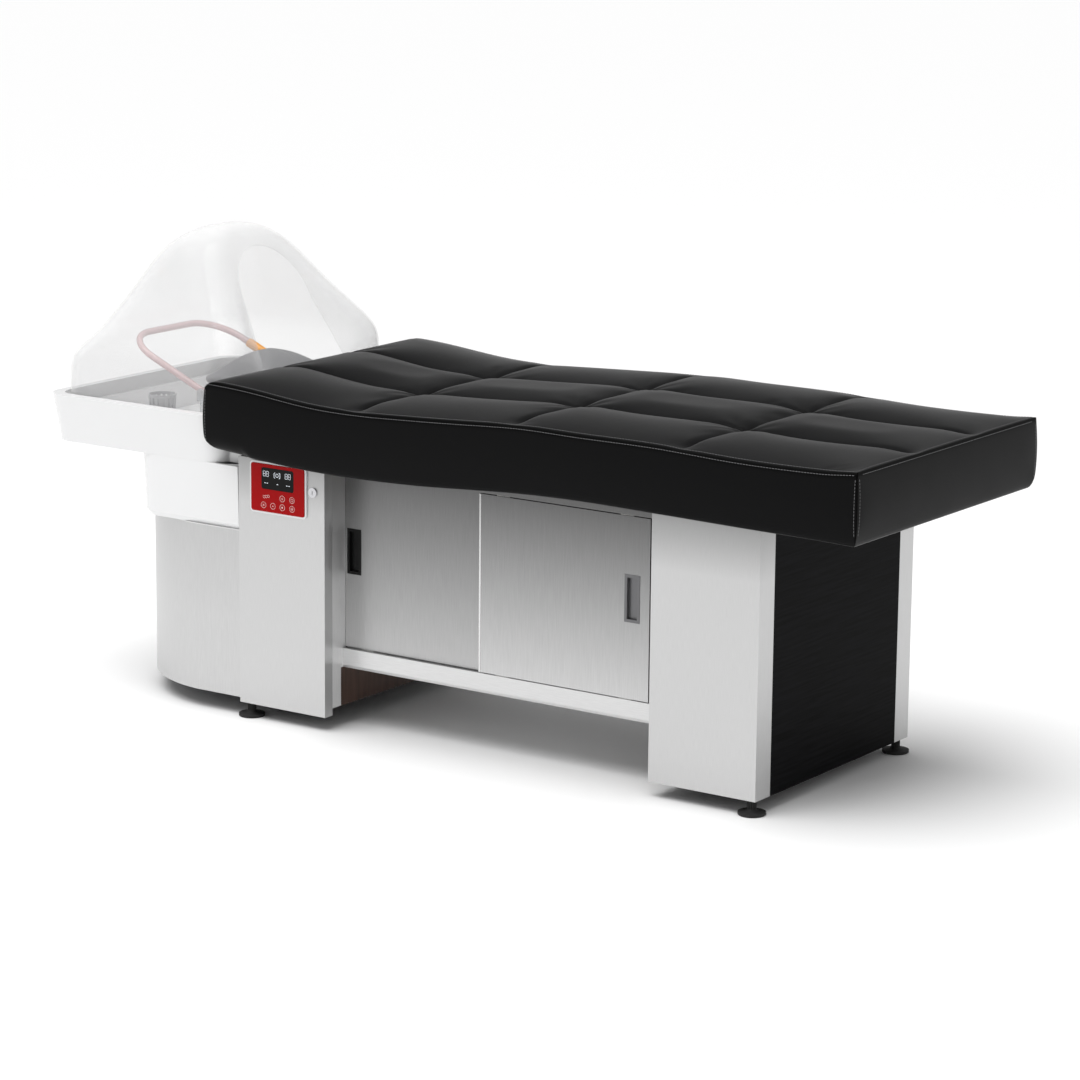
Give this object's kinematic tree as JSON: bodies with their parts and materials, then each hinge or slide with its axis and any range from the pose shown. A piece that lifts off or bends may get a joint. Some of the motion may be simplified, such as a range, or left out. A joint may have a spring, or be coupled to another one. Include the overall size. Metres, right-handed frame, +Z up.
{
  "type": "hair washing bed",
  "caption": "Salon hair washing bed: quilted black couch on steel pedestals with a sliding-door cabinet, water basin and clear hood.",
  "frame": {"origin": "centre of the bounding box's base, on the floor", "axes": "+X towards the foot end, the basin is at -X; +Y towards the back, the doors and control panel face -Y; +Z up"},
  "size_m": [1.987, 0.7012, 0.971],
  "materials": {
    "steel": "brushed",
    "frame_steel": "satin powder coat",
    "track": "satin",
    "black_laminate": "satin wood grain",
    "brown_laminate": "satin",
    "plywood": "matte",
    "leatherette": "satin grain",
    "white_plastic": "gloss",
    "clear_plastic": "frosted clear",
    "pink_tube": "clear",
    "amber_rubber": "satin",
    "gel": "soft matte",
    "black_plastic": "matte",
    "black_rubber": "matte",
    "red_panel": "gloss",
    "display_black": "gloss",
    "circuit": "matte",
    "chrome": "polished",
    "nylon": "matte",
    "grey_metal": "satin",
    "hose": "satin"
  },
  "bodies": {
    "bed": {"foot_end_panel": "black_laminate", "foot_inner_panel": "brown_laminate", "head_inner_panel": "brown_laminate", "head_basin_panel": "brown_laminate", "return_screws": "chrome", "foot_frame": "frame_steel", "head_frame": "frame_steel", "foot_front_cover": "steel", "foot_rear_cover": "steel", "inlet_socket": "black_plastic", "head_rear_cover": "steel", "power_supply": "grey_metal", "hinge_pins": "frame_steel", "head_jambs": "steel", "lock_strike": "steel", "bottom_rail": "steel", "lower_track": "track", "upper_track": "track", "bed_rails": "frame_steel", "cabinet_floor": "steel", "cabinet_back": "steel", "door_stiles": "steel", "couch": "leatherette", "couch_board": "plywood", "couch_bolts": "chrome", "drain_fitting": "white_plastic", "neck_bracket": "white_plastic", "neck_rest": "gel", "ring_posts": "clear_plastic", "pump": "grey_metal", "pump_hoses": "hose", "heater": "grey_metal", "drain_pipe": "white_plastic", "basin_tray": "white_plastic", "lower_tank": "white_plastic", "shroud": "steel", "shroud_top": "steel", "equipment_shelf": "frame_steel"},
    "left_door": {"left_door": "steel", "left_pull": "black_plastic", "left_glides": "nylon"},
    "right_door": {"right_door": "steel", "right_pull": "grey_metal", "right_glides": "nylon"},
    "service_door": {"service_door": "steel", "control_bezel": "white_plastic", "control_plate": "red_panel", "display": "display_black", "control_board": "circuit", "lock_barrel": "chrome"},
    "lock": {"lock_plug": "chrome"},
    "hood": {"hood": "clear_plastic"},
    "ring": {"spray_ring": "pink_tube", "amber_sleeve": "amber_rubber"},
    "strainer": {"strainer": "black_plastic"},
    "foot_a": {"head_front_foot": "black_rubber"},
    "foot_b": {"head_rear_foot": "black_rubber"},
    "foot_c": {"end_front_foot": "black_rubber"},
    "foot_d": {"end_rear_foot": "black_rubber"}
  },
  "joints": [
    {"name": "left_door_slide", "type": "slide", "parent": "bed", "child": "left_door", "axis": [1, 0, 0], "range_m": [0, 0.378]},
    {"name": "right_door_slide", "type": "slide", "parent": "bed", "child": "right_door", "axis": [-1, 0, 0], "range_m": [-0.04, 0.338]},
    {"name": "service_door_hinge", "type": "hinge", "parent": "bed", "child": "service_door", "pos_m": [-0.4765, -0.285, 0.29], "axis": [0, 0, -1], "range_deg": [0, 90]},
    {"name": "lock_turn", "type": "hinge", "parent": "service_door", "child": "lock", "pos_m": [-0.29, -0.29, 0.492], "axis": [0, 1, 0], "range_deg": [0, 90]},
    {"name": "hood_lift", "type": "slide", "parent": "bed", "child": "hood", "axis": [0, 0, 1], "range_m": [0, 0.45]},
    {"name": "ring_tilt", "type": "hinge", "parent": "bed", "child": "ring", "pos_m": [-0.6863, 0, 0.633], "axis": [0, 1, 0], "range_deg": [-12, 5]},
    {"name": "strainer_lift", "type": "slide", "parent": "bed", "child": "strainer", "axis": [0, 0, 1], "range_m": [0, 0.06]},
    {"name": "foot_a_turn", "type": "hinge", "parent": "bed", "child": "foot_a", "pos_m": [-0.4645, -0.273, 0.02], "axis": [0, 0, 1], "range_deg": [-180, 180]},
    {"name": "foot_b_turn", "type": "hinge", "parent": "bed", "child": "foot_b", "pos_m": [-0.4645, 0.273, 0.02], "axis": [0, 0, 1], "range_deg": [-180, 180]},
    {"name": "foot_c_turn", "type": "hinge", "parent": "bed", "child": "foot_c", "pos_m": [0.7415, -0.273, 0.02], "axis": [0, 0, 1], "range_deg": [-180, 180]},
    {"name": "foot_d_turn", "type": "hinge", "parent": "bed", "child": "foot_d", "pos_m": [0.7415, 0.273, 0.02], "axis": [0, 0, 1], "range_deg": [-180, 180]}
  ]
}
